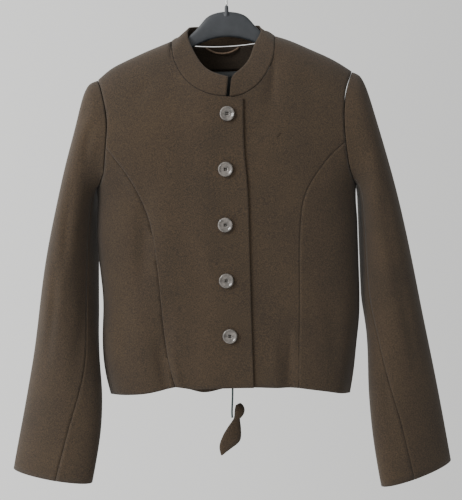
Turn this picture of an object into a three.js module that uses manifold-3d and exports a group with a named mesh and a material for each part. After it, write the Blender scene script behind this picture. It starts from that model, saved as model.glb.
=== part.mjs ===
// A short loden jacket with a stand collar, princess seams and two-piece sleeves, buttoned,
// hanging on an arched plastic clothes hanger with a wire hook.
// Millimetres, +Z up, +X towards the wearer's left, +Y towards the wearer's back.
// The origin is the inside top of the hook. Heights in the tables count from the hanger's top.

import * as THREE from "three";
import { mergeVertices } from "three/addons/utils/BufferGeometryUtils.js";
import Module from "manifold-3d";

const wasm = await Module();
wasm.setup();

// Driving dimensions
const hangerDrop = 71; // from the inside top of the hook down to the hanger's top
const clothThickness = 2.2;
const facingThickness = 1.2;
const liningThickness = 1;
const facingGap = 2.4; // between the back and the facing inside it
const liningGap = 4.2; // and the lining
const seamInset = 0.25; // how far each edge draws back from its seam line
const sleeveInset = 0.6;
const collarGap = 1; // between the neck edge and the foot of the collar
const sleeveGap = 0.7; // between an armhole and the head of its sleeve
const ridgeReach = 150; // below the shoulder line, where the cloth reaches its full depth
const fullness = 0.9; // 0 makes the sections ellipses, more makes their faces flatter
const lapLift = 3.4; // the right front stands off the left one where they overlap
const lapStart = -78;
const lapFull = -30;
const underlapEdge = -18;
const princessTurn = 0.58 * Math.PI; // where round the armhole the princess seams start
const liningShort = 24; // the lining ends this far above the back hem
const liningInset = 9; // and this far inside the armholes and side seams
const buttonRadius = 11.5;
const buttonStandOff = 1.2;
const hookRadius = 20; // inside radius of the hook
const wireRadius = 1.75;

// Half sections of the body: where its sides stand and how deep its faces reach.
const bodySections = [
  { z: -30, right: -264, left: 254, front: 60, back: 52 },
  { z: -150, right: -250, left: 240, front: 69, back: 56 },
  { z: -215, right: -234, left: 224, front: 73, back: 58 },
  { z: -268, right: -206, left: 196, front: 73, back: 58 },
  { z: -318, right: -208, left: 197.5, front: 71, back: 56 },
  { z: -347, right: -208.5, left: 198, front: 69, back: 54 },
  { z: -394, right: -205, left: 199, front: 66, back: 52 },
  { z: -441, right: -201, left: 200, front: 65, back: 50 },
  { z: -480, right: -203, left: 199, front: 64, back: 49 },
  { z: -515, right: -204.5, left: 194.5, front: 64, back: 48 },
  { z: -559, right: -201, left: 190, front: 63, back: 47 },
  { z: -605, right: -190, left: 182, front: 62, back: 46 },
];

// Height of the shoulder line, carried on across the neck and past the shoulders.
const shoulderLine = [
  { x: -262, z: -136 },
  { x: -200, z: -101 },
  { x: -184, z: -86 },
  { x: -152, z: -71 },
  { x: -120, z: -57 },
  { x: -86, z: -44 },
  { x: -46, z: -22 },
  { x: -6, z: -12 },
  { x: 34, z: -20 },
  { x: 74, z: -39 },
  { x: 94, z: -45 },
  { x: 129, z: -61 },
  { x: 164, z: -77 },
  { x: 191, z: -95 },
  { x: 254, z: -132 },
];

// Neck edge of each front, from the shoulder to the centre front.
const neckRight = [
  { x: -86, z: -44 },
  { x: -84, z: -64 },
  { x: -80, z: -79 },
  { x: -74, z: -91 },
  { x: -66, z: -103 },
  { x: -54, z: -115 },
  { x: -35, z: -126 },
  { x: -15, z: -131 },
  { x: -3, z: -132 },
];
const neckLeft = [
  { x: 74, z: -39 },
  { x: 72, z: -58 },
  { x: 69, z: -76 },
  { x: 61, z: -93 },
  { x: 51, z: -108 },
  { x: 41, z: -118 },
  { x: 24, z: -128.5 },
  { x: 12, z: -132 },
  { x: 2, z: -133 },
];
const overlapTop = { x: 22.5, z: -135.5 };
const underlapTop = { x: underlapEdge, z: -134.5 };
const neckBack = [
  { x: -86, z: -44 },
  { x: -76, z: -47.5 },
  { x: -50, z: -50.5 },
  { x: -6, z: -51.5 },
  { x: 40, z: -48.5 },
  { x: 66, z: -44 },
  { x: 74, z: -39 },
];

// Armholes: how far out the front and the back edge run at each height.
const armholeRight = [
  { z: -101, front: -200, back: -200 },
  { z: -114, front: -194, back: -196 },
  { z: -129, front: -190, back: -193 },
  { z: -156, front: -184, back: -188 },
  { z: -171, front: -183, back: -186 },
  { z: -193, front: -185, back: -185 },
  { z: -221, front: -188, back: -187 },
  { z: -239, front: -190, back: -190 },
  { z: -254, front: -195, back: -196 },
  { z: -262, front: -200, back: -201 },
  { z: -268, front: -206, back: -206 },
];
const armholeLeft = [
  { z: -95, front: 191, back: 191 },
  { z: -110, front: 184, back: 187 },
  { z: -122, front: 179, back: 184 },
  { z: -150, front: 174.5, back: 180 },
  { z: -170, front: 173.5, back: 178 },
  { z: -192, front: 174.5, back: 177 },
  { z: -223, front: 178, back: 179 },
  { z: -242, front: 181.5, back: 183 },
  { z: -256, front: 187, back: 188 },
  { z: -263, front: 191, back: 192 },
  { z: -268, front: 196, back: 196 },
];

// Princess seams, from below the armhole to just above the hem.
const princessRight = [
  { x: -171, z: -224 },
  { x: -152, z: -250 },
  { x: -133, z: -288 },
  { x: -122, z: -320 },
  { x: -115, z: -365 },
  { x: -109, z: -425 },
  { x: -105, z: -490 },
  { x: -98, z: -541 },
];
const princessLeft = [
  { x: 163, z: -210 },
  { x: 151, z: -223 },
  { x: 128, z: -253 },
  { x: 111, z: -281 },
  { x: 106, z: -319 },
  { x: 103.5, z: -360 },
  { x: 103, z: -440 },
  { x: 101, z: -517 },
];
const overlapEdge = [
  { z: -135.5, x: 22.5 },
  { z: -210, x: 22.5 },
  { z: -272, x: 27 },
  { z: -392, x: 28.5 },
  { z: -483, x: 29.5 },
  { z: -574, x: 31 },
];

// Hems, with the waves that they hang in.
const hemFront = [
  { x: -192, z: -592 },
  { x: -174, z: -587 },
  { x: -143, z: -584 },
  { x: -112, z: -578 },
  { x: -97, z: -573 },
  { x: -85, z: -572 },
  { x: -64, z: -575 },
  { x: -20, z: -574 },
  { x: 31, z: -574 },
  { x: 71, z: -576 },
  { x: 101, z: -577 },
  { x: 117, z: -580 },
  { x: 147, z: -586 },
  { x: 184, z: -597 },
];
const hemBack = [
  { x: -192, z: -592 },
  { x: -110, z: -589 },
  { x: -85, z: -592 },
  { x: -62, z: -598 },
  { x: -48, z: -603 },
  { x: -33, z: -600 },
  { x: -20, z: -595.5 },
  { x: 20, z: -592.5 },
  { x: 70, z: -594.5 },
  { x: 130, z: -595 },
  { x: 184, z: -597 },
];

// The largest folds: troughs in the cloth from one place to another on a face.
const folds = [
  { face: "front", fromX: -128, fromZ: -250, toX: -132, toZ: -420, width: 17, depth: 5 },
  { face: "front", fromX: -112, fromZ: -450, toX: -97, toZ: -590, width: 15, depth: 7 },
  { face: "front", fromX: 66, fromZ: -60, toX: 64, toZ: -170, width: 13, depth: 3.5 },
  { face: "front", fromX: 78, fromZ: -490, toX: 84, toZ: -600, width: 14, depth: 5 },
  { face: "back", fromX: -70, fromZ: -420, toX: -86, toZ: -600, width: 22, depth: 6 },
  { face: "back", fromX: 72, fromZ: -380, toX: 88, toZ: -600, width: 24, depth: 6 },
];

// Upper edge of the collar, in three stretches: right front, back and left front.
const collarTopRight = [
  { x: 0.5, y: -62, z: -102 },
  { x: -6, y: -61.5, z: -100.5 },
  { x: -19, y: -58, z: -96 },
  { x: -31, y: -53, z: -90 },
  { x: -41, y: -45, z: -79 },
  { x: -47, y: -38, z: -69 },
  { x: -53, y: -29, z: -57 },
  { x: -59, y: -16, z: -42.5 },
  { x: -61, y: -9, z: -34.5 },
  { x: -61, y: 0, z: -28 },
];
const collarTopBack = [
  { x: -61, y: 0, z: -28 },
  { x: -60, y: 7, z: -24 },
  { x: -55, y: 20, z: -21 },
  { x: -41, y: 32, z: -20.5 },
  { x: -5, y: 39, z: -20 },
  { x: 34, y: 31, z: -20.5 },
  { x: 47, y: 20, z: -20.5 },
  { x: 52, y: 8, z: -21.5 },
  { x: 52.5, y: 0, z: -26 },
];
const collarTopLeft = [
  { x: 52.5, y: 0, z: -26 },
  { x: 52, y: -9.5, z: -33 },
  { x: 46, y: -18.5, z: -44 },
  { x: 40, y: -28, z: -55 },
  { x: 34, y: -40, z: -73 },
  { x: 26, y: -48, z: -84 },
  { x: 18, y: -53.5, z: -92 },
  { x: 9, y: -58, z: -98 },
  { x: 5, y: -59, z: -103 },
];
const facingEdge = [
  { x: -112, z: -66 },
  { x: -94, z: -77 },
  { x: -60, z: -84 },
  { x: -5, z: -86 },
  { x: 50, z: -83 },
  { x: 82, z: -74 },
  { x: 100, z: -62 },
];

// Rings of the sleeves from armhole to cuff. Out and in are the ring's ends away from and
// beside the body, mid and depth its middle and half depth front to back. Lean carries the
// back of the ring towards the body, and turn carries its inner end forward.
const sleeveRight = [
  { outX: -200, outZ: -101, inX: -206, inZ: -268, mid: 0, depth: 46, lean: 0, turn: 0 },
  { outX: -215, outZ: -107, inX: -208, inZ: -275, mid: 0, depth: 50, lean: 0, turn: 0 },
  { outX: -223, outZ: -122, inX: -209.5, inZ: -284, mid: 1, depth: 54, lean: 0.03, turn: 0 },
  { outX: -229, outZ: -147, inX: -210.5, inZ: -297, mid: 3, depth: 57, lean: 0.08, turn: 0 },
  { outX: -237, outZ: -181, inX: -211, inZ: -316, mid: 5, depth: 60, lean: 0.13, turn: 0 },
  { outX: -250, outZ: -225, inX: -212, inZ: -345, mid: 7, depth: 62, lean: 0.17, turn: 0 },
  { outX: -265, outZ: -287, inX: -212, inZ: -385, mid: 8, depth: 62, lean: 0.2, turn: 0 },
  { outX: -281, outZ: -350, inX: -212, inZ: -428, mid: 8, depth: 60, lean: 0.2, turn: 0 },
  { outX: -293, outZ: -408, inX: -211, inZ: -468, mid: 6, depth: 57, lean: 0.18, turn: 0.05 },
  { outX: -303, outZ: -466, inX: -210, inZ: -510, mid: 3, depth: 53, lean: 0.1, turn: 0.1 },
  { outX: -312, outZ: -519, inX: -207.5, inZ: -550, mid: 0, depth: 49, lean: 0, turn: 0.16 },
  { outX: -322, outZ: -568, inX: -203.5, inZ: -588, mid: -4, depth: 45, lean: 0, turn: 0.21 },
  { outX: -332, outZ: -618, inX: -205, inZ: -634, mid: -9, depth: 41, lean: 0, turn: 0.25 },
  { outX: -342, outZ: -664, inX: -212, inZ: -679, mid: -14, depth: 37, lean: 0, turn: 0.29 },
  { outX: -351, outZ: -708, inX: -221, inZ: -723, mid: -18, depth: 33, lean: 0, turn: 0.32 },
];
const sleeveLeft = [
  { outX: 191, outZ: -95, inX: 196, inZ: -268, mid: 0, depth: 46, lean: 0, turn: 0 },
  { outX: 205, outZ: -102, inX: 198.5, inZ: -275, mid: 0, depth: 50, lean: 0, turn: 0 },
  { outX: 213, outZ: -119, inX: 200, inZ: -284, mid: 1, depth: 54, lean: 0.02, turn: 0 },
  { outX: 220, outZ: -142, inX: 201, inZ: -297, mid: 3, depth: 57, lean: 0.04, turn: 0 },
  { outX: 229, outZ: -174, inX: 201.5, inZ: -316, mid: 5, depth: 60, lean: 0.06, turn: 0 },
  { outX: 241, outZ: -215, inX: 202, inZ: -345, mid: 7, depth: 62, lean: 0.07, turn: 0 },
  { outX: 257, outZ: -272, inX: 202.5, inZ: -385, mid: 8, depth: 62, lean: 0.07, turn: 0 },
  { outX: 272, outZ: -336, inX: 203, inZ: -424, mid: 8, depth: 60, lean: 0.06, turn: 0.03 },
  { outX: 285, outZ: -399, inX: 203.5, inZ: -458, mid: 6, depth: 57, lean: 0.04, turn: 0.07 },
  { outX: 297, outZ: -462, inX: 210, inZ: -496, mid: 3, depth: 53, lean: 0, turn: 0.12 },
  { outX: 307, outZ: -512, inX: 211, inZ: -542, mid: 0, depth: 49, lean: 0, turn: 0.17 },
  { outX: 317, outZ: -562, inX: 209.5, inZ: -589, mid: -4, depth: 45, lean: 0, turn: 0.22 },
  { outX: 326, outZ: -612, inX: 212.5, inZ: -638, mid: -9, depth: 41, lean: 0, turn: 0.26 },
  { outX: 334, outZ: -659, inX: 218, inZ: -688, mid: -14, depth: 37, lean: 0, turn: 0.3 },
  { outX: 342, outZ: -707, inX: 226, inZ: -738, mid: -18, depth: 33, lean: 0, turn: 0.32 },
];
const headRings = 4; // rings over which a sleeve changes from the armhole's shape to its own

// Where the sleeves' front seams run round them, in degrees from the outer edge.
const frontSleeveSeam = [
  { ring: 0, angle: 150 },
  { ring: 6, angle: 150 },
  { ring: 9, angle: 138 },
  { ring: 11, angle: 115 },
  { ring: 12, angle: 104 },
  { ring: 14, angle: 97 },
];
const backSleeveSeam = 262;

const buttonPlaces = [
  { x: -2, z: -158 },
  { x: -6, z: -240 },
  { x: -8, z: -323 },
  { x: -8, z: -408 },
  { x: -4, z: -493 },
];
const buttonProfile = [
  { r: 0, h: 0 },
  { r: 9.6, h: 0 },
  { r: 11.1, h: 0.8 },
  { r: buttonRadius, h: 2 },
  { r: 11.1, h: 3.6 },
  { r: 9.9, h: 4.4 },
  { r: 8.5, h: 4.1 },
  { r: 7.2, h: 3 },
  { r: 0, h: 2.7 },
];
const buttonHoleRadius = 1.15;
const buttonHoleSpacing = 2.4;

// One half of the hanger: its upper and lower edge and half its thickness.
const hangerSections = [
  { x: 0, top: 0, low: -39, half: 5.5 },
  { x: 16, top: -1.6, low: -40.5, half: 5.5 },
  { x: 26, top: -5, low: -43, half: 5.5 },
  { x: 33, top: -10, low: -45.5, half: 5.5 },
  { x: 41, top: -20, low: -48.5, half: 5.5 },
  { x: 50, top: -30, low: -52.5, half: 5.5 },
  { x: 68, top: -44, low: -62, half: 5.5 },
  { x: 86, top: -53, low: -71, half: 5.5 },
  { x: 120, top: -67, low: -85, half: 6.5 },
  { x: 152, top: -81, low: -99, half: 7 },
  { x: 172, top: -93, low: -109, half: 6.5 },
  { x: 178, top: -98, low: -109, half: 5 },
];
const stub = { radius: 3.1, top: 6, low: -6, y: -3.4 };

const loopRadius = 1.4;
const loopRoute = [
  [-33, 26.7, -53.5],
  [-29.5, 26.2, -55.8],
  [-20, 25.7, -60.4],
  [-8, 25.5, -62.4],
  [5, 25.8, -60.6],
  [14.5, 26.5, -56],
  [18, 27, -53.5],
];
const ribbonRadius = 1.5;
const ribbonRoute = [
  [-2.6, 36.8, -545],
  [-2.6, 37.7, -551],
  [-2.4, 37.3, -560],
  [-2, 36.8, -570],
  [-1.6, 36.2, -580],
  [-1.5, 35.6, -590],
  [-1.6, 35, -600],
  [-2, 34.6, -610],
  [-2.6, 34.3, -620],
  [-3.2, 34.1, -630],
  [-3.3, 34, -637],
  [-2.9, 34, -641],
];
const scrapMiddle = 34;
const scrapSections = [
  { z: -617.5, left: 8, right: 11.5, depth: 2 },
  { z: -621, left: 2.5, right: 16, depth: 6.5 },
  { z: -629, left: 0.2, right: 18.6, depth: 8.5 },
  { z: -637, left: 0.4, right: 15.6, depth: 7.5 },
  { z: -643, left: -0.9, right: 9.6, depth: 5.5 },
  { z: -649, left: -5.5, right: 10.4, depth: 6 },
  { z: -661, left: -14.5, right: 11, depth: 7 },
  { z: -673, left: -20, right: 11.2, depth: 7 },
  { z: -681, left: -23.5, right: 8.5, depth: 6 },
  { z: -689, left: -25, right: -2, depth: 4.5 },
  { z: -696, left: -23.8, right: -12, depth: 3 },
  { z: -702, left: -22.2, right: -19.6, depth: 1.2 },
];

const finishes = {
  loden: { color: 0x4b3a28, roughness: 0.95, metalness: 0 },
  lodenSide: { color: 0x46361f, roughness: 0.95, metalness: 0 },
  facing: { color: 0x3a2f20, roughness: 0.95, metalness: 0 },
  lining: { color: 0x1f2628, roughness: 0.55, metalness: 0 },
  loop: { color: 0x6e5538, roughness: 0.6, metalness: 0 },
  horn: { color: 0x6b6258, roughness: 0.3, metalness: 0 },
  ribbon: { color: 0x1f3a3a, roughness: 0.6, metalness: 0 },
  plastic: { color: 0x24282d, roughness: 0.5, metalness: 0 },
  steel: { color: 0x9a9a98, roughness: 0.35, metalness: 1 },
};

// Smooth reading of one column of a table along another.
function reader(table, along, column) {
  const rows = [...table].sort((p, q) => p[along] - q[along]);
  const at = rows.map((row) => row[along]);
  const value = rows.map((row) => row[column]);
  const last = rows.length - 1;
  const slope = at.map((_, i) => {
    const a = Math.max(i - 1, 0);
    const b = Math.min(i + 1, last);
    return (value[b] - value[a]) / (at[b] - at[a]);
  });
  return (place) => {
    const s = Math.min(Math.max(place, at[0]), at[last]);
    const i = Math.min(at.filter((v) => v <= s).length, last) - 1;
    const span = at[i + 1] - at[i];
    const t = (s - at[i]) / span;
    const rise = value[i + 1] - value[i];
    const bend = slope[i] * span - rise;
    const settle = rise - slope[i + 1] * span;
    return value[i] + t * rise + t * (1 - t) * ((1 - t) * bend + t * settle);
  };
}

// Points evenly spaced along the smooth curve through a table's rows, as objects like them.
function spaced(rows, count) {
  const keys = Object.keys(rows[0]);
  let run = 0;
  const marked = rows.map((row, i) => {
    if (i) run += Math.hypot(...keys.map((key) => row[key] - rows[i - 1][key]));
    return { ...row, run };
  });
  const read = keys.map((key) => [key, reader(marked, "run", key)]);
  return Array.from({ length: count }, (_, i) => {
    const at = (run * i) / (count - 1);
    return Object.fromEntries(read.map(([key, from]) => [key, from(at)]));
  });
}

const sideRight = reader(bodySections, "z", "right");
const sideLeft = reader(bodySections, "z", "left");
const fullDepth = {
  front: reader(bodySections, "z", "front"),
  back: reader(bodySections, "z", "back"),
};
const shoulderAt = reader(shoulderLine, "x", "z");
const hemAt = {
  front: reader(hemFront, "x", "z"),
  back: reader(hemBack, "x", "z"),
};

// The body is an oval tube that closes along the shoulder line. Its depth squared is the full
// depth squared, times a fall towards the sides, times a fall towards the shoulder line.
function depthSquared(face, x, z) {
  const across = (2 * x - sideRight(z) - sideLeft(z)) / (sideLeft(z) - sideRight(z));
  const sideFall = (1 - across ** 2) * (1 + fullness * across ** 2);
  const below = Math.min((shoulderAt(x) - z) / ridgeReach, 1);
  return fullDepth[face](z) ** 2 * sideFall * below * (2 - below);
}

// A place on the body, and the direction that faces out of the cloth there.
function bodyPlace(face, x, z) {
  const y = Math.sqrt(Math.max(depthSquared(face, x, z), 0)) * (face === "front" ? -1 : 1);
  const step = 0.5;
  const out = new THREE.Vector3(
    depthSquared(face, x - step, z) - depthSquared(face, x + step, z),
    4 * step * y,
    depthSquared(face, x, z - step) - depthSquared(face, x, z + step),
  ).normalize();
  return { point: new THREE.Vector3(x, y, z), out };
}

// Depth of the folds at a place: each is a trough that fades at its ends.
function foldDepth(face, x, z) {
  return folds
    .filter((fold) => fold.face === face)
    .reduce((sum, fold) => {
      const dx = fold.toX - fold.fromX;
      const dz = fold.toZ - fold.fromZ;
      const length = Math.hypot(dx, dz);
      const along = ((x - fold.fromX) * dx + (z - fold.fromZ) * dz) / length ** 2;
      const beside = ((x - fold.fromX) * dz - (z - fold.fromZ) * dx) / length;
      const ends = Math.sin(Math.PI * Math.min(Math.max(along, 0), 1)) ** 0.7;
      return sum + fold.depth * ends * Math.exp(-((beside / fold.width) ** 2));
    }, 0);
}

// Turn round the body at a height: 0 at the wearer's right side, half a turn at the left.
const turnAt = (x, z) =>
  Math.acos(
    Math.min(Math.max((sideRight(z) + sideLeft(z) - 2 * x) / (sideLeft(z) - sideRight(z)), -1), 1),
  );
const xAt = (turn, z) =>
  (sideRight(z) + sideLeft(z)) / 2 - ((sideLeft(z) - sideRight(z)) / 2) * Math.cos(turn);

// Armhole edge: 0 at the shoulder, half a turn at the underarm, down the front or the back.
function armholeEdge(table, face, from, to, count) {
  const out = reader(table, "z", face);
  const top = table[0].z;
  const low = table[table.length - 1].z;
  return Array.from({ length: count }, (_, i) => {
    const turn = from + ((to - from) * i) / (count - 1);
    const z = top + ((low - top) * (1 - Math.cos(turn))) / 2;
    return { x: out(z), z };
  });
}

// A grid of places between four edges, blended in turn and height. Left and right run down,
// top and bottom run from left to right.
function edgesToGrid({ top, bottom, left, right }) {
  const flat = (edge) => edge.map(({ x, z }) => ({ turn: turnAt(x, z), z }));
  const [t, b, l, r] = [top, bottom, left, right].map(flat);
  const across = t.length - 1;
  const down = l.length - 1;
  return l.map((_, j) =>
    t.map((_, i) => {
      const u = i / across;
      const v = j / down;
      const mix = (key) =>
        (1 - v) * t[i][key] +
        v * b[i][key] +
        (1 - u) * l[j][key] +
        u * r[j][key] -
        (1 - u) * (1 - v) * t[0][key] -
        u * (1 - v) * t[across][key] -
        (1 - u) * v * b[0][key] -
        u * v * b[across][key];
      const z = mix("z");
      return { x: xAt(mix("turn"), z), z };
    }),
  );
}

// Each edge point moves towards its neighbour further in, to leave the gap of a seam.
function drawIn(grid, inset) {
  const down = grid.length - 1;
  const across = grid[0].length - 1;
  const inner = (n, most) => Math.min(Math.max(n, 1), most - 1);
  return grid.map((row, j) =>
    row.map((point, i) => {
      const moved = point.clone();
      const beside = row[inner(i, across)];
      const below = grid[inner(j, down)][i];
      [beside, below].forEach((other) => {
        const way = other.clone().sub(point);
        if (way.length() > 0) moved.addScaledVector(way, inset / way.length());
      });
      return moved;
    }),
  );
}

// A closed wall between two grids of points.
function wall(outerGrid, innerGrid) {
  const rows = outerGrid.length;
  const columns = outerGrid[0].length;
  const points = [...outerGrid.flat(), ...innerGrid.flat()];
  const at = (layer, j, i) => layer * rows * columns + j * columns + i;
  const faces = [];
  const quad = (a, b, c, d) => faces.push(a, b, c, a, c, d);
  for (let j = 0; j < rows - 1; j++) {
    for (let i = 0; i < columns - 1; i++) {
      quad(at(0, j, i), at(0, j + 1, i), at(0, j + 1, i + 1), at(0, j, i + 1));
      quad(at(1, j, i), at(1, j, i + 1), at(1, j + 1, i + 1), at(1, j + 1, i));
    }
    quad(at(0, j, 0), at(1, j, 0), at(1, j + 1, 0), at(0, j + 1, 0));
    quad(at(0, j + 1, columns - 1), at(1, j + 1, columns - 1), at(1, j, columns - 1), at(0, j, columns - 1));
  }
  for (let i = 0; i < columns - 1; i++) {
    quad(at(0, 0, i), at(0, 0, i + 1), at(1, 0, i + 1), at(1, 0, i));
    quad(at(0, rows - 1, i + 1), at(0, rows - 1, i), at(1, rows - 1, i), at(1, rows - 1, i + 1));
  }
  return outwards(points, faces);
}

// A closed solid through rings of points, with flat ends.
function loft(rings) {
  const count = rings[0].length;
  const points = rings.flat();
  const faces = [];
  for (let j = 0; j < rings.length - 1; j++) {
    for (let i = 0; i < count; i++) {
      const a = j * count + i;
      const b = j * count + ((i + 1) % count);
      faces.push(a, b, b + count, a, b + count, a + count);
    }
  }
  const far = (rings.length - 1) * count;
  for (let i = 1; i < count - 1; i++) {
    faces.push(0, i + 1, i);
    faces.push(far, far + i, far + i + 1);
  }
  return outwards(points, faces);
}

// Geometry from points and triangles, turned round if its volume comes out negative.
function outwards(points, faces) {
  let volume = 0;
  for (let k = 0; k < faces.length; k += 3) {
    const [a, b, c] = [points[faces[k]], points[faces[k + 1]], points[faces[k + 2]]];
    volume += a.dot(b.clone().cross(c));
  }
  const order = volume < 0 ? [...faces].reverse() : faces;
  const geometry = new THREE.BufferGeometry().setFromPoints(points);
  geometry.setIndex(order);
  geometry.computeVertexNormals();
  return geometry;
}

// Solid of a geometry, for cutting and joining, and the geometry of such a solid.
function solidOf(geometry) {
  const bare = geometry.clone();
  bare.deleteAttribute("normal");
  bare.deleteAttribute("uv");
  const merged = mergeVertices(bare, 1e-3);
  return new wasm.Manifold(
    new wasm.Mesh({
      numProp: 3,
      vertProperties: new Float32Array(merged.attributes.position.array),
      triVerts: new Uint32Array(merged.index.array),
    }),
  );
}
function geometryOf(solid) {
  const mesh = solid.getMesh();
  const geometry = new THREE.BufferGeometry();
  geometry.setAttribute("position", new THREE.BufferAttribute(mesh.vertProperties, 3));
  geometry.setIndex(new THREE.BufferAttribute(mesh.triVerts, 1));
  return geometry;
}

const garment = new THREE.Group();
garment.position.z = -hangerDrop;

function add(name, geometry, finish) {
  const mesh = new THREE.Mesh(geometry, new THREE.MeshStandardMaterial(finishes[finish]));
  mesh.name = name;
  garment.add(mesh);
  return mesh;
}

// A panel of the body: its grid of places, lifted off the body's surface and given a wall.
function bodyPanel(name, face, edges, finish, { lift = () => 0, thickness = clothThickness }) {
  const grid = edgesToGrid(edges);
  const layer = (under) =>
    drawIn(
      grid.map((row) =>
        row.map(({ x, z }) => {
          const { point, out } = bodyPlace(face, x, z);
          return point.addScaledVector(out, lift(x) - foldDepth(face, x, z) - under);
        }),
      ),
      seamInset,
    );
  add(name, wall(layer(0), layer(thickness)), finish);
}

const smooth = (t) => {
  const s = Math.min(Math.max(t, 0), 1);
  return s * s * (3 - 2 * s);
};
const lap = (x) => lapLift * smooth((x - lapStart) / (lapFull - lapStart));

// Edges that more than one panel shares.
const joinTurns = 9; // steps of the armhole above the princess seam
const underTurns = 6; // and below it
const princessRows = 15;
function princessEdge(table, armhole) {
  const start = armholeEdge(armhole, "front", 0, princessTurn, 2)[1];
  const end = table[table.length - 1];
  const foot = { x: end.x + (end.x < 0 ? 9 : -1), z: 0 };
  foot.z = hemAt.front(foot.x);
  return spaced([start, ...table, foot], princessRows);
}
const seamRight = princessEdge(princessRight, armholeRight);
const seamLeft = princessEdge(princessLeft, armholeLeft);
const upperEdge = (armhole) => armholeEdge(armhole, "front", 0, princessTurn, joinTurns + 1);
const lowerEdge = (armhole) => armholeEdge(armhole, "front", Math.PI, princessTurn, underTurns + 1);
const centreEdge = (armhole, seam) => [...upperEdge(armhole), ...seam.slice(1)];

// A straight or given edge with its heights spaced like those of the edge across the panel.
function matching(other, topZ, lowZ, xOf) {
  const first = other[0].z;
  const last = other[other.length - 1].z;
  return other.map(({ z }) => {
    const height = topZ + ((lowZ - topZ) * (z - first)) / (last - first);
    return { x: xOf(height), z: height };
  });
}
function hemEdge(face, fromX, toX, count) {
  return Array.from({ length: count }, (_, i) => {
    const x = fromX + ((toX - fromX) * i) / (count - 1);
    return { x, z: hemAt[face](x) };
  });
}
function shoulderEdge(fromX, toX, count) {
  return Array.from({ length: count }, (_, i) => {
    const x = fromX + ((toX - fromX) * i) / (count - 1);
    return { x, z: shoulderAt(x) };
  });
}

const shoulderSteps = 6;
const neckSteps = 11; // along each front, and along the back
const lapSteps = 2;

function frontRight() {
  const left = centreEdge(armholeRight, seamRight);
  const edgeX = reader(overlapEdge, "z", "x");
  const top = [
    ...shoulderEdge(armholeRight[0].front, neckRight[0].x, shoulderSteps + 1),
    ...spaced(neckRight, neckSteps + 1).slice(1),
    ...spaced([neckRight[neckRight.length - 1], overlapTop], lapSteps + 1).slice(1),
  ];
  const foot = overlapEdge[overlapEdge.length - 1].x;
  const bottom = hemEdge("front", left[left.length - 1].x, foot, top.length);
  const right = matching(left, overlapTop.z, hemAt.front(foot), edgeX);
  bodyPanel("front_right", "front", { top, bottom, left, right }, "loden", { lift: lap });
}

function frontLeft() {
  const right = centreEdge(armholeLeft, seamLeft);
  const top = [
    ...shoulderEdge(armholeLeft[0].front, neckLeft[0].x, shoulderSteps + 1),
    ...spaced(neckLeft, neckSteps + 1).slice(1),
    ...spaced([neckLeft[neckLeft.length - 1], underlapTop], lapSteps + 1).slice(1),
  ].reverse();
  const bottom = hemEdge("front", underlapEdge, right[right.length - 1].x, top.length);
  const left = matching(right, underlapTop.z, hemAt.front(underlapEdge), () => underlapEdge);
  bodyPanel("front_left", "front", { top, bottom, left, right }, "loden", {});
}

function sideSeam(sideAt, topZ, count) {
  const x = sideAt(-600);
  const lowZ = hemAt.front(x);
  return Array.from({ length: count }, (_, i) => {
    const z = topZ + ((lowZ - topZ) * i) / (count - 1);
    return { x: sideAt(z), z };
  });
}

function frontSide(name, armhole, seam, sideAt, mirrored) {
  const under = lowerEdge(armhole);
  const side = sideSeam(sideAt, under[0].z, seam.length);
  const hem = hemEdge("front", side[side.length - 1].x, seam[seam.length - 1].x, under.length);
  const edges = mirrored
    ? { top: [...under].reverse(), bottom: [...hem].reverse(), left: seam, right: side }
    : { top: under, bottom: hem, left: side, right: seam };
  bodyPanel(name, "front", edges, "lodenSide", {});
}

// Edges of the back, which its lining shares below the facing.
const backArmTurns = 9;
const backSideSteps = 12;
function backSideEdge(armhole, sideAt) {
  const arm = armholeEdge(armhole, "back", 0, Math.PI, backArmTurns + 1);
  const side = sideSeam(sideAt, arm[arm.length - 1].z, backSideSteps + 1);
  return [...arm, ...side.slice(1)];
}
function backEdges(neck, middleSteps) {
  const left = backSideEdge(armholeRight, sideRight);
  const right = backSideEdge(armholeLeft, sideLeft);
  const top = [
    ...shoulderEdge(armholeRight[0].back, neck[0].x, 6),
    ...spaced(neck, middleSteps + 1).slice(1),
    ...shoulderEdge(neck[neck.length - 1].x, armholeLeft[0].back, 6).slice(1),
  ];
  const bottom = hemEdge("back", left[left.length - 1].x, right[right.length - 1].x, top.length);
  return { top, bottom, left, right };
}

function backNeckFacing() {
  const count = 13;
  const rows = 4;
  const ends = [facingEdge[0], facingEdge[facingEdge.length - 1]];
  const top = spaced(
    neckBack.map(({ x, z }) => ({ x: 0.88 * x, z: Math.min(z - 1.2, shoulderAt(0.88 * x) - 13) })),
    count,
  );
  const left = spaced([top[0], ends[0]], rows);
  const right = spaced([top[count - 1], ends[1]], rows);
  const edges = { top, bottom: spaced(facingEdge, count), left, right };
  bodyPanel("back_neck_facing", "back", edges, "facing", {
    lift: () => -clothThickness - facingGap,
    thickness: facingThickness,
  });
}

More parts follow.
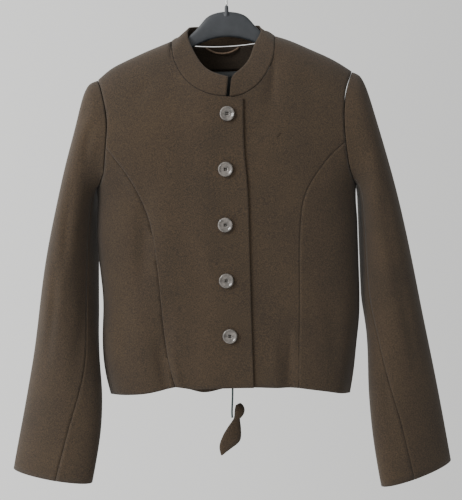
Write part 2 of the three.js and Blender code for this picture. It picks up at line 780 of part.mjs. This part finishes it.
function backLining() {
  const columns = 19;
  const rows = 14;
  const shoulderDrop = 14;
  const top = spaced(
    [
      { x: -180, z: shoulderAt(-180) - shoulderDrop },
      ...facingEdge.map(({ x, z }) => ({ x, z: z - 2 })),
      { x: 170, z: shoulderAt(170) - shoulderDrop },
    ],
    columns,
  );
  const inside = (armhole, sideAt, way) =>
    backSideEdge(armhole, sideAt).map(({ x, z }) => ({ x: x + way * liningInset, z }));
  const [left, right] = [
    [top[0], ...inside(armholeRight, sideRight, 1).slice(4)],
    [top[columns - 1], ...inside(armholeLeft, sideLeft, -1).slice(4)],
  ].map((edge) => {
    const foot = edge[edge.length - 1];
    return spaced([...edge.slice(0, -1), { x: foot.x, z: foot.z + liningShort }], rows);
  });
  const bottom = hemEdge("back", left[rows - 1].x, right[rows - 1].x, columns).map(({ x, z }) => ({
    x,
    z: z + liningShort,
  }));
  bottom[0] = left[rows - 1];
  bottom[columns - 1] = right[rows - 1];
  bodyPanel("back_lining", "back", { top, bottom, left, right }, "lining", {
    lift: () => -clothThickness - liningGap,
    thickness: liningThickness,
  });
}

// A place on a sleeve's outer face. Its angle is 0 at the outer edge, 90 at the front, 180
// beside the body, and its rings count down from the armhole.
function sleeveSurface(table, armhole) {
  const rows = table.map((row, ring) => ({ ...row, ring }));
  const read = Object.fromEntries(
    Object.keys(table[0]).map((key) => [key, reader(rows, "ring", key)]),
  );
  const away = Math.sign(table[0].outX);
  const loop = (turn) => {
    const face = turn <= Math.PI ? "front" : "back";
    const { x, z } = armholeEdge(armhole, face, 0, turn <= Math.PI ? turn : 2 * Math.PI - turn, 2)[1];
    return bodyPlace(face, x, z).point.add(new THREE.Vector3(away * sleeveGap, 0, 0));
  };
  const ringPlace = (turn, ring) => {
    const across = Math.cos(turn);
    const y = read.mid(ring) - read.depth(ring) * Math.sin(turn);
    const reach = (read.outX(ring) - read.inX(ring)) / 2;
    return new THREE.Vector3(
      read.inX(ring) + reach + reach * across - away * read.lean(ring) * (y - read.mid(ring)),
      y + read.turn(ring) * Math.abs(reach) * across,
      (read.outZ(ring) + read.inZ(ring)) / 2 + ((read.outZ(ring) - read.inZ(ring)) / 2) * across,
    );
  };
  return (angle, ring) => {
    const turn = THREE.MathUtils.degToRad(((angle % 360) + 360) % 360);
    const place = ringPlace(turn, ring);
    const hold = Math.max(1 - ring / headRings, 0) ** 2;
    return hold ? place.add(loop(turn).sub(ringPlace(turn, 0)).multiplyScalar(hold)) : place;
  };
}

function sleevePanel(name, surface, lastRing, fromAngle, toAngle, count, finish) {
  const grid = Array.from({ length: lastRing + 2 }, (_, j) => {
    const ring = j === 0 ? 0 : j === 1 ? 0.5 : j - 1;
    const from = fromAngle(ring);
    const to = toAngle(ring);
    return Array.from({ length: count }, (_, i) => {
      const angle = from + ((to - from) * i) / (count - 1);
      const point = surface(angle, ring);
      const round = surface(angle + 1, ring).sub(surface(angle - 1, ring));
      const along = surface(angle, Math.min(ring + 0.05, lastRing))
        .sub(surface(angle, Math.max(ring - 0.05, 0)));
      const out = round.cross(along).normalize();
      const middle = surface(angle + 180, ring).add(point).multiplyScalar(0.5);
      if (out.dot(point.clone().sub(middle)) < 0) out.negate();
      return { point, out };
    });
  });
  const layer = (under) =>
    drawIn(
      grid.map((row) => row.map(({ point, out }) => point.clone().addScaledVector(out, -under))),
      sleeveInset,
    );
  add(name, wall(layer(0), layer(clothThickness)), finish);
}

function sleeve(side, table, armhole) {
  const surface = sleeveSurface(table, armhole);
  const lastRing = table.length - 1;
  const front = reader(frontSleeveSeam, "ring", "angle");
  const back = () => backSleeveSeam;
  sleevePanel(`sleeve_${side}_upper`, surface, lastRing, () => backSleeveSeam - 360, front, 15, "loden");
  sleevePanel(`sleeve_${side}_under`, surface, lastRing, front, back, 9, "lodenSide");
}

// The collar stands between the neck edge and its own upper edge, a little rounded outwards.
function collar() {
  const rise = 4;
  const bulge = 1.2;
  const onBody = (face, rows) =>
    rows.map(({ x, z }) => {
      const { point, out } = bodyPlace(face, x, z);
      const lifted = face === "front" && x < 0 ? lap(x) : 0;
      return point.addScaledVector(out, lifted - foldDepth(face, x, z));
    });
  const foot = [
    ...onBody("front", spaced(neckRight, neckSteps + 1).reverse()),
    ...onBody("back", spaced(neckBack, neckSteps + 1)).slice(1),
    ...onBody("front", spaced(neckLeft, neckSteps + 1)).slice(1),
  ];
  const head = [
    ...spaced(collarTopRight, neckSteps + 1),
    ...spaced(collarTopBack, neckSteps + 1).slice(1),
    ...spaced(collarTopLeft, neckSteps + 1).slice(1),
  ].map(({ x, y, z }) => new THREE.Vector3(x, y, z));
  const outOf = foot.map((low, i) => {
    const next = foot[Math.min(i + 1, foot.length - 1)];
    const before = foot[Math.max(i - 1, 0)];
    const along = next.clone().sub(before);
    return along.cross(head[i].clone().sub(low)).normalize();
  });
  const centre = new THREE.Vector3(-6, -10, foot[0].z);
  outOf.forEach((out, i) => {
    if (out.dot(foot[i].clone().sub(centre)) < 0) out.negate();
  });
  const layer = (under) =>
    Array.from({ length: rise }, (_, j) =>
      foot.map((low, i) => {
        const up = head[i].clone().sub(low);
        const from = collarGap / up.length();
        const v = from + ((1 - from) * j) / (rise - 1);
        return low
          .clone()
          .addScaledVector(up, v)
          .addScaledVector(outOf[i], bulge * Math.sin(Math.PI * v) - under);
      }),
    );
  add("collar", wall(layer(0), layer(clothThickness)), "loden");
}

function buttons() {
  const profile = buttonProfile.map(({ r, h }) => new THREE.Vector2(r, h));
  const disc = new THREE.LatheGeometry(profile, 24).rotateX(Math.PI / 2);
  let solid = solidOf(disc);
  [-1, 1].forEach((sx) => {
    [-1, 1].forEach((sy) => {
      const drill = new THREE.CylinderGeometry(buttonHoleRadius, buttonHoleRadius, 20, 8);
      drill.rotateX(Math.PI / 2);
      drill.translate((sx * buttonHoleSpacing) / 2, (sy * buttonHoleSpacing) / 2, 0);
      solid = solid.subtract(solidOf(drill));
    });
  });
  const shape = geometryOf(solid);
  buttonPlaces.forEach(({ x, z }, i) => {
    const { point, out } = bodyPlace("front", x, z);
    const mesh = add(`button_${i + 1}`, shape, "horn");
    mesh.position.copy(point.addScaledVector(out, lap(x) + buttonStandOff));
    mesh.quaternion.setFromUnitVectors(new THREE.Vector3(0, 0, 1), out);
  });
}

function tube(name, route, radius, sides, steps, finish) {
  const section = new THREE.Shape(
    Array.from({ length: sides }, (_, i) => {
      const turn = (2 * Math.PI * i) / sides;
      return new THREE.Vector2(radius * Math.cos(turn), radius * Math.sin(turn));
    }),
  );
  const curve = new THREE.CatmullRomCurve3(route.map((p) => new THREE.Vector3(...p)));
  const geometry = new THREE.ExtrudeGeometry(section, { extrudePath: curve, steps, curveSegments: 1 });
  add(name, geometry, finish);
}

function hangerBody() {
  const round = 14;
  const squareness = 0.55; // 1 makes the section an ellipse, less makes it boxier
  const sections = [
    ...hangerSections.slice(1).map((row) => ({ ...row, x: -row.x })).reverse(),
    ...hangerSections,
  ];
  const corner = (v) => Math.sign(v) * Math.abs(v) ** squareness;
  const rings = sections.map(({ x, top, low, half }) =>
    Array.from({ length: round }, (_, i) => {
      const turn = (2 * Math.PI * (i + 0.5)) / round;
      const y = half * corner(Math.cos(turn));
      const z = (top + low) / 2 + ((top - low) / 2) * corner(Math.sin(turn));
      return new THREE.Vector3(x, y, z);
    }),
  );
  const post = new THREE.CapsuleGeometry(stub.radius, stub.top - stub.low, 3, 10);
  post.rotateX(Math.PI / 2);
  post.translate(0, stub.y, (stub.top + stub.low) / 2);
  const joined = solidOf(loft(rings)).add(solidOf(post));
  add("hanger", geometryOf(joined), "plastic");
}

// The wire rises straight out of the hanger, swings out and runs round over the top.
function hook() {
  const radius = hookRadius + wireRadius;
  const middle = hangerDrop - hookRadius;
  const arc = Array.from({ length: 12 }, (_, i) => {
    const turn = THREE.MathUtils.degToRad(-58 + (262 * i) / 11);
    return [radius * Math.cos(turn), stub.y, middle + radius * Math.sin(turn)];
  });
  const stem = [
    [0, stub.y, stub.top + stub.radius + 0.3],
    [0, stub.y, 15],
    [0, stub.y, 20],
    [2.6, stub.y, 27],
  ];
  tube("hanger_hook", [...stem, ...arc], wireRadius, 10, 40, "steel");
}

function scrap() {
  const round = 12;
  const rings = scrapSections.map(({ z, left, right, depth }) =>
    Array.from({ length: round }, (_, i) => {
      const turn = (2 * Math.PI * i) / round;
      const x = (left + right) / 2 + ((right - left) / 2) * Math.cos(turn);
      return new THREE.Vector3(x, scrapMiddle + depth * Math.sin(turn), z);
    }),
  );
  add("ribbon_scrap", loft(rings), "loden");
}

frontRight();
frontLeft();
frontSide("front_right_side", armholeRight, seamRight, sideRight, false);
frontSide("front_left_side", armholeLeft, seamLeft, sideLeft, true);
bodyPanel("back", "back", backEdges(neckBack, neckSteps), "loden", {});
backNeckFacing();
backLining();
sleeve("right", sleeveRight, armholeRight);
sleeve("left", sleeveLeft, armholeLeft);
collar();
buttons();
tube("hanging_loop", loopRoute, loopRadius, 8, 14, "loop");
tube("ribbon", ribbonRoute, ribbonRadius, 8, 16, "ribbon");
scrap();
hangerBody();
hook();

const part = new THREE.Group();
part.add(garment);
export default part;
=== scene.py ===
import math
import bmesh
import bpy
import numpy as np
from mathutils import Matrix, Vector


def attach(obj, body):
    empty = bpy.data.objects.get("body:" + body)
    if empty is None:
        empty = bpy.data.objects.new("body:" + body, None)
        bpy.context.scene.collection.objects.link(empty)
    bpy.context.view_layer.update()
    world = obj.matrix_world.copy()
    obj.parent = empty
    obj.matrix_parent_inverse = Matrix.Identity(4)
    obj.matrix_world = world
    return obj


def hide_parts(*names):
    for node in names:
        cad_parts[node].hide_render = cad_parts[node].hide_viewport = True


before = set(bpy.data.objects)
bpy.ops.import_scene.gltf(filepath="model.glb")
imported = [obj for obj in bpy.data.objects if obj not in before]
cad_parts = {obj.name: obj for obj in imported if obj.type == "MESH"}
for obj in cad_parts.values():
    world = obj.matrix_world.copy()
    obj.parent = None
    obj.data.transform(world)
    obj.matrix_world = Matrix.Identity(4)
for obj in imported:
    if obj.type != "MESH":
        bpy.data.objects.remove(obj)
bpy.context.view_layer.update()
print("stage: frame loaded")

# Camera: in front of the jacket, looking a little down and turned a little about its own axis.
cameraSettings = {
    "place": (0.0, -2.0, -0.2639),
    "lens": 92.66,
    "tilt": 85.0,  # degrees up from straight down
    "roll": -1.06,
}
cameraData = bpy.data.cameras.new("camera")
cameraData.lens = cameraSettings["lens"]
cameraData.sensor_width = 36.0
camera = bpy.data.objects.new("camera", cameraData)
camera.matrix_world = (
    Matrix.Translation(cameraSettings["place"])
    @ Matrix.Rotation(math.radians(cameraSettings["tilt"]), 4, "X")
    @ Matrix.Rotation(math.radians(cameraSettings["roll"]), 4, "Z")
)
bpy.context.scene.collection.objects.link(camera)
bpy.context.scene.camera = camera


# A socket that adds, subtracts and multiplies as a formula does.
class Sock:
    def __init__(self, tree, out):
        self.tree = tree
        self.out = out

    def op(self, kind, other, flip=False):
        pair = [other, self] if flip else [self, other]
        return self.node("ShaderNodeMath", 0, dict(enumerate(pair)), operation=kind)

    def __add__(self, other):
        return self.op("ADD", other)

    def __radd__(self, other):
        return self.op("ADD", other, True)

    def __sub__(self, other):
        return self.op("SUBTRACT", other)

    def __rsub__(self, other):
        return self.op("SUBTRACT", other, True)

    def __mul__(self, other):
        return self.op("MULTIPLY", other)

    def __rmul__(self, other):
        return self.op("MULTIPLY", other, True)

    # Any other node: its type, the output to take, its inputs as values or sockets, its settings.
    def node(self, kind, pick, inputs, **settings):
        made = self.tree.nodes.new(kind)
        for key, value in settings.items():
            setattr(made, key, value)
        for key, value in inputs.items():
            if isinstance(value, Sock):
                self.tree.links.new(value.out, made.inputs[key])
            else:
                made.inputs[key].default_value = value
        return Sock(self.tree, made.outputs[pick])


def coordinates(tree, kind):
    return Sock(tree, tree.nodes.new("ShaderNodeTexCoord").outputs[kind])


speckle = {
    "fineShare": 0.8,
    "broadShare": 0.2,
    "broadScale": 14.0,
    "darkBelow": 0.36,
    "lightAbove": 0.64,
    "bumpHeight": 0.0006,
    "sheenRoughness": 0.6,
}


# A finish: two colours mixed by fine and broad noise, with a bump of the same fine noise.
def finish(name, dark, light, grain, rough, bump, metal=0.0, sheen=0.0, coat=0.0):
    material = bpy.data.materials.new(name)
    material.use_nodes = True
    tree = material.node_tree
    shader = tree.nodes["Principled BSDF"]
    spot = coordinates(tree, "Object")
    fine = spot.node("ShaderNodeTexNoise", 0, {"Vector": spot, "Scale": grain, "Detail": 3.0})
    broad = spot.node(
        "ShaderNodeTexNoise", 0, {"Vector": spot, "Scale": speckle["broadScale"], "Detail": 2.0}
    )
    mixed = fine * speckle["fineShare"] + broad * speckle["broadShare"]
    blend = spot.node(
        "ShaderNodeMapRange", 0,
        {"Value": mixed, "From Min": speckle["darkBelow"], "From Max": speckle["lightAbove"]},
    )
    colour = spot.node(
        "ShaderNodeMix", 2, {0: blend, 6: (*dark, 1.0), 7: (*light, 1.0)}, data_type="RGBA"
    )
    nap = spot.node(
        "ShaderNodeBump", 0,
        {"Strength": bump, "Distance": speckle["bumpHeight"], "Height": fine},
    )
    tree.links.new(colour.out, shader.inputs["Base Color"])
    tree.links.new(nap.out, shader.inputs["Normal"])
    shader.inputs["Roughness"].default_value = rough
    shader.inputs["Metallic"].default_value = metal
    shader.inputs["Sheen Weight"].default_value = sheen
    shader.inputs["Sheen Roughness"].default_value = speckle["sheenRoughness"]
    shader.inputs["Coat Weight"].default_value = coat
    return material


lodenFinish = {
    "dark": (0.0175, 0.0102, 0.0044), "light": (0.051, 0.031, 0.0145),
    "grain": 620.0, "rough": 0.95, "bump": 0.7, "sheen": 0.06,
}
facingFinish = {
    "dark": (0.0125, 0.0078, 0.0037), "light": (0.031, 0.0198, 0.0105),
    "grain": 620.0, "rough": 0.95, "bump": 0.7, "sheen": 0.04,
}
liningFinish = {
    "dark": (0.013, 0.016, 0.017), "light": (0.022, 0.026, 0.027),
    "grain": 900.0, "rough": 0.5, "bump": 0.15,
}
satinFinish = {
    "dark": (0.09, 0.055, 0.03), "light": (0.17, 0.11, 0.07),
    "grain": 500.0, "rough": 0.5, "bump": 0.3,
}
hornFinish = {
    "dark": (0.05, 0.045, 0.04), "light": (0.17, 0.15, 0.135),
    "grain": 160.0, "rough": 0.22, "bump": 0.05, "coat": 0.5,
}
ribbonFinish = {
    "dark": (0.012, 0.034, 0.034), "light": (0.022, 0.06, 0.06),
    "grain": 700.0, "rough": 0.45, "bump": 0.2,
}
plasticFinish = {
    "dark": (0.018, 0.021, 0.025), "light": (0.026, 0.029, 0.034),
    "grain": 90.0, "rough": 0.45, "bump": 0.04,
}
steelFinish = {
    "dark": (0.5, 0.5, 0.49), "light": (0.62, 0.62, 0.61),
    "grain": 300.0, "rough": 0.32, "bump": 0.03, "metal": 1.0,
}
floorFinish = {
    "dark": (0.6, 0.6, 0.59), "light": (0.66, 0.66, 0.65),
    "grain": 4.0, "rough": 0.8, "bump": 0.0,
}
loden = finish("loden", **lodenFinish)
facing = finish("facing", **facingFinish)
lining = finish("lining", **liningFinish)
satin = finish("satin", **satinFinish)
horn = finish("horn", **hornFinish)
ribbonCloth = finish("ribbon", **ribbonFinish)
plastic = finish("plastic", **plasticFinish)
steel = finish("steel", **steelFinish)
print("stage: finishes made")

# Folds listed one by one, in millimetres: each runs from one place to another and pushes the
# cloth in by its depth (or out, where that is negative) over its width.
frontFolds = [
    {"from": (-131, -330), "to": (-134, -500), "width": 8, "depth": 2.6},
    {"from": (-116, -560), "to": (-98, -665), "width": 6, "depth": 3.2},
    {"from": (-96, -560), "to": (-82, -660), "width": 9, "depth": -2.4},
    {"from": (70, -120), "to": (62, -225), "width": 9, "depth": 2.0},
    {"from": (84, -545), "to": (88, -668), "width": 8, "depth": 3.0},
    {"from": (66, -560), "to": (68, -660), "width": 10, "depth": -1.8},
    {"from": (-172, -300), "to": (-150, -372), "width": 9, "depth": 1.8},
    {"from": (150, -292), "to": (122, -350), "width": 9, "depth": 1.6},
    {"from": (20, -265), "to": (62, -242), "width": 12, "depth": 1.3},
    {"from": (-150, -210), "to": (-110, -175), "width": 13, "depth": 1.6},
    {"from": (140, -205), "to": (104, -170), "width": 13, "depth": 1.4},
    {"from": (-60, -430), "to": (-30, -560), "width": 16, "depth": 1.4},
    {"from": (40, -380), "to": (52, -540), "width": 16, "depth": 1.3},
    {"from": (-166, -480), "to": (-170, -640), "width": 12, "depth": 2.0},
    {"from": (150, -470), "to": (154, -640), "width": 12, "depth": 2.0},
]
backFolds = [
    {"from": (-130, -180), "to": (-90, -300), "width": 16, "depth": 2.4},
    {"from": (118, -176), "to": (84, -300), "width": 16, "depth": 2.2},
    {"from": (-92, -500), "to": (-98, -670), "width": 12, "depth": 3.0},
    {"from": (88, -480), "to": (96, -670), "width": 12, "depth": 2.8},
    {"from": (-8, -470), "to": (-12, -640), "width": 18, "depth": 1.8},
]
sleeveRightFolds = [
    {"from": (-214, -196), "to": (-230, -262), "width": 6, "depth": 2.6},
    {"from": (-206, -232), "to": (-216, -300), "width": 6, "depth": 2.4},
    {"from": (-232, -300), "to": (-262, -470), "width": 10, "depth": 3.4},
    {"from": (-262, -420), "to": (-290, -620), "width": 11, "depth": 3.2},
    {"from": (-226, -470), "to": (-240, -640), "width": 10, "depth": 2.6},
    {"from": (-232, -540), "to": (-292, -500), "width": 9, "depth": 2.2},
]
sleeveLeftFolds = [
    {"from": (206, -190), "to": (222, -262), "width": 7, "depth": 2.0},
    {"from": (224, -300), "to": (252, -470), "width": 10, "depth": 2.8},
    {"from": (250, -430), "to": (282, -640), "width": 11, "depth": 3.0},
    {"from": (214, -538), "to": (262, -506), "width": 8, "depth": 3.0},
    {"from": (228, -600), "to": (244, -720), "width": 9, "depth": 2.2},
]
foldShape = {
    "sway": 2.5,  # millimetres that a fold's line swings to each side
    "swayTurns": 5.0,
    "swayShift": 1.7,  # from one fold to the next
    "uneven": 0.35,  # share by which its width changes along it
    "unevenTurns": 3.1,
    "turnDepth": 0.02,  # metres from the cloth's middle within which the push fades out
}


# Inward push of the folds at places x, z: a soft trough along each line, the sine of the way
# along it times the bell curve of the way beside it, its line and its width swaying slowly.
def foldPush(folds, x, z):
    total = np.zeros_like(x)
    for number, fold in enumerate(folds):
        (fromX, fromZ), (toX, toZ) = fold["from"], fold["to"]
        runX, runZ = toX - fromX, toZ - fromZ
        length = math.hypot(runX, runZ)
        along = ((x - fromX) * runX + (z - fromZ) * runZ) / length**2
        beside = ((x - fromX) * runZ - (z - fromZ) * runX) / length
        swing = foldShape["swayTurns"] * along + foldShape["swayShift"] * number
        beside = beside + foldShape["sway"] * np.sin(swing)
        change = np.sin(foldShape["unevenTurns"] * along + number)
        width = fold["width"] * (1.0 + foldShape["uneven"] * change)
        ends = np.sin(math.pi * np.clip(along, 0.0, 1.0))
        total = total + fold["depth"] * ends * np.exp(-((beside / width) ** 2))
    return total


rounding = {
    "levels": 2,
    "clothCrease": 40.0,  # degrees past which an edge stays sharp
    "hardCrease": 60.0,
    "shadeSharp": 50.0,
    "merge": 1e-6,
    "flatJoin": 0.5,  # radians between two triangles that become one face
    "shapeJoin": 0.9,
}


# A solid's mesh, merged, with its sharp edges creased and the rest rounded by subdivision.
def roundedMesh(name, crease):
    work = bmesh.new()
    work.from_mesh(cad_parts[name].data)
    bmesh.ops.remove_doubles(work, verts=work.verts[:], dist=rounding["merge"])
    bmesh.ops.join_triangles(
        work,
        faces=work.faces[:],
        angle_face_threshold=rounding["flatJoin"],
        angle_shape_threshold=rounding["shapeJoin"],
    )
    sharpness = work.edges.layers.float.new("crease_edge")
    for edge in work.edges:
        edge[sharpness] = 1.0 if edge.calc_face_angle(0.0) > math.radians(crease) else 0.0
    plain = bpy.data.meshes.new(name + "_plain")
    work.to_mesh(plain)
    work.free()
    holder = bpy.data.objects.new(name + "_holder", plain)
    bpy.context.scene.collection.objects.link(holder)
    smoothing = holder.modifiers.new("rounding", "SUBSURF")
    smoothing.levels = rounding["levels"]
    smoothing.render_levels = rounding["levels"]
    graph = bpy.context.evaluated_depsgraph_get()
    mesh = bpy.data.meshes.new_from_object(holder.evaluated_get(graph))
    bpy.data.objects.remove(holder)
    return mesh


# A shell on a solid's form: every point moves towards the middle of the cloth's tube by the
# folds' push, and then out along its normal by the swell, which narrows the seams.
def shell(name, material, folds=(), crease=rounding["clothCrease"], swell=0.0):
    mesh = roundedMesh(name, crease)
    points = np.empty(len(mesh.vertices) * 3)
    mesh.vertices.foreach_get("co", points)
    points = points.reshape(-1, 3)
    if folds:
        push = foldPush(folds, points[:, 0] * 1000.0, points[:, 2] * 1000.0) / 1000.0
        points[:, 1] -= push * np.clip(points[:, 1] / foldShape["turnDepth"], -1.0, 1.0)
    normals = np.empty(len(mesh.vertices) * 3)
    mesh.vertex_normals.foreach_get("vector", normals)
    points += swell * normals.reshape(-1, 3)
    mesh.vertices.foreach_set("co", points.ravel())
    mesh.polygons.foreach_set("use_smooth", np.ones(len(mesh.polygons), bool))
    mesh.update()
    mesh.set_sharp_from_angle(angle=math.radians(rounding["shadeSharp"]))
    mesh.name = name + "_look"
    mesh.materials.clear()
    mesh.materials.append(material)
    piece = bpy.data.objects.new(name + "_look", mesh)
    bpy.context.scene.collection.objects.link(piece)
    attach(piece, "root")
    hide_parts(name)
    return piece


# Flat sizes and areas in metres, with the folds that each piece of cloth hangs in.
clothPieces = {
    "front_right": {"flat": (0.235, 0.535), "area": 0.081, "folds": frontFolds},
    "front_left": {"flat": (0.215, 0.54), "area": 0.073, "folds": frontFolds},
    "front_right_side": {"flat": (0.135, 0.39), "area": 0.040, "folds": frontFolds},
    "front_left_side": {"flat": (0.135, 0.39), "area": 0.040, "folds": frontFolds},
    "back": {"flat": (0.47, 0.56), "area": 0.223, "folds": backFolds},
    "sleeve_right_upper": {"flat": (0.21, 0.64), "area": 0.115, "folds": sleeveRightFolds},
    "sleeve_right_under": {"flat": (0.12, 0.56), "area": 0.054, "folds": sleeveRightFolds},
    "sleeve_left_upper": {"flat": (0.21, 0.64), "area": 0.115, "folds": sleeveLeftFolds},
    "sleeve_left_under": {"flat": (0.12, 0.56), "area": 0.054, "folds": sleeveLeftFolds},
    "collar": {"flat": (0.385, 0.04), "area": 0.0133, "folds": ()},
    "back_neck_facing": {"flat": (0.23, 0.045), "area": 0.007, "folds": ()},
    "back_lining": {"flat": (0.42, 0.52), "area": 0.17, "folds": ()},
}
clothFinish = {"back_neck_facing": facing, "back_lining": lining}
clothSwell = {"sleeve": 0.00045, "body": 0.0001}
for name, cut in clothPieces.items():
    piece = shell(
        name,
        clothFinish.get(name, loden),
        folds=cut["folds"],
        swell=clothSwell["sleeve" if "sleeve" in name else "body"],
    )
print("stage: cloth made")

loop = shell("hanging_loop", satin)
ribbon = shell("ribbon", ribbonCloth)
shell("ribbon_scrap", loden)
buttonCount = 5
for number in range(1, buttonCount + 1):
    shell(f"button_{number}", horn)
shell("hanger", plastic, crease=rounding["hardCrease"])
shell("hanger_hook", steel, crease=rounding["hardCrease"])
print("stage: trim and hanger made")

# Floor well below, and pale surroundings that grow darker towards +X.
floorSettings = {"half": 1.5, "height": -1.5}
half, height = floorSettings["half"], floorSettings["height"]
floorMesh = bpy.data.meshes.new("floor")
corners = [(-half, -half, height), (half, -half, height), (half, half, height), (-half, half, height)]
floorMesh.from_pydata(corners, [], [(0, 1, 2, 3)])
floorMesh.materials.append(finish("floor", **floorFinish))
floor = bpy.data.objects.new("floor", floorMesh)
bpy.context.scene.collection.objects.link(floor)

surroundings = {"colour": (0.84, 0.84, 0.825, 1.0), "strength": 1.2, "fall": 1.0}
world = bpy.data.worlds.new("world")
bpy.context.scene.world = world
world.use_nodes = True
worldTree = world.node_tree
background = worldTree.nodes["Background"]
background.inputs["Color"].default_value = surroundings["colour"]
way = coordinates(worldTree, "Generated")
across = way.node("ShaderNodeSeparateXYZ", 0, {"Vector": way})
strength = surroundings["strength"] - across * surroundings["fall"]
worldTree.links.new(strength.out, background.inputs["Strength"])

# Soft lights that face a point in the jacket's chest.
keyLight = {"place": (-1.9, -1.9, 0.7), "size": 1.2, "power": 60.0}
fillLight = {"place": (1.8, -1.6, 0.0), "size": 1.6, "power": 3.0}
lightAim = (0.0, 0.0, -0.4)


def softLight(name, settings):
    data = bpy.data.lights.new(name, "AREA")
    data.size = settings["size"]
    data.energy = settings["power"]
    lamp = bpy.data.objects.new(name, data)
    lamp.location = settings["place"]
    away = Vector(settings["place"]) - Vector(lightAim)
    lamp.rotation_euler = away.to_track_quat("Z", "Y").to_euler()
    bpy.context.scene.collection.objects.link(lamp)


softLight("key", keyLight)
softLight("fill", fillLight)
print("stage: floor and lights made")
